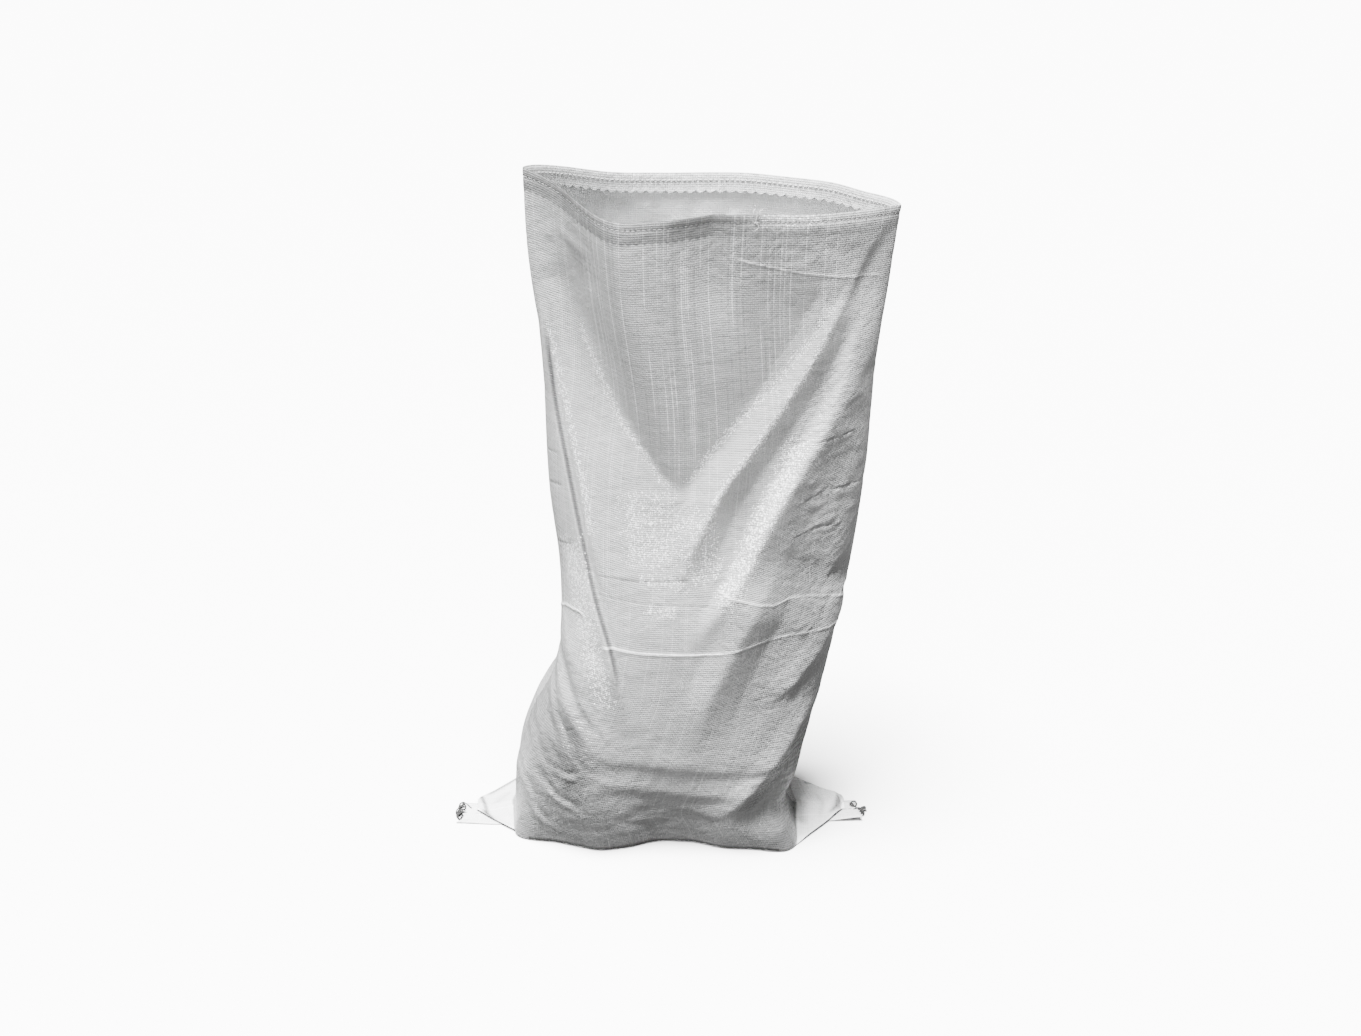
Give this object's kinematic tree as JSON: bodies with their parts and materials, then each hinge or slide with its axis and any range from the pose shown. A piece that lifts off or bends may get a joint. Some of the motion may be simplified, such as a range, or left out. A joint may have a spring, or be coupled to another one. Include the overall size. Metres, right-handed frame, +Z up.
{
  "type": "rubble sack",
  "caption": "Open woven polypropylene rubble sack standing on its squared bottom, with a sewn mouth hem and flat corner ears",
  "frame": {"origin": "on the floor, under the middle of the sack's box", "axes": "+Z up, the sack's front faces -Y, and its bottom seam runs along X"},
  "size_m": [0.5583, 0.2468, 0.872],
  "materials": {
    "woven_polypropylene": "white woven flat tape, slightly glossy",
    "hem_thread": "white spun sewing thread",
    "seam_thread": "black spun sewing thread"
  },
  "bodies": {
    "root": {"woven_sack": "woven_polypropylene", "hem_thread": "hem_thread", "seam_thread": "seam_thread"}
  },
  "joints": []
}
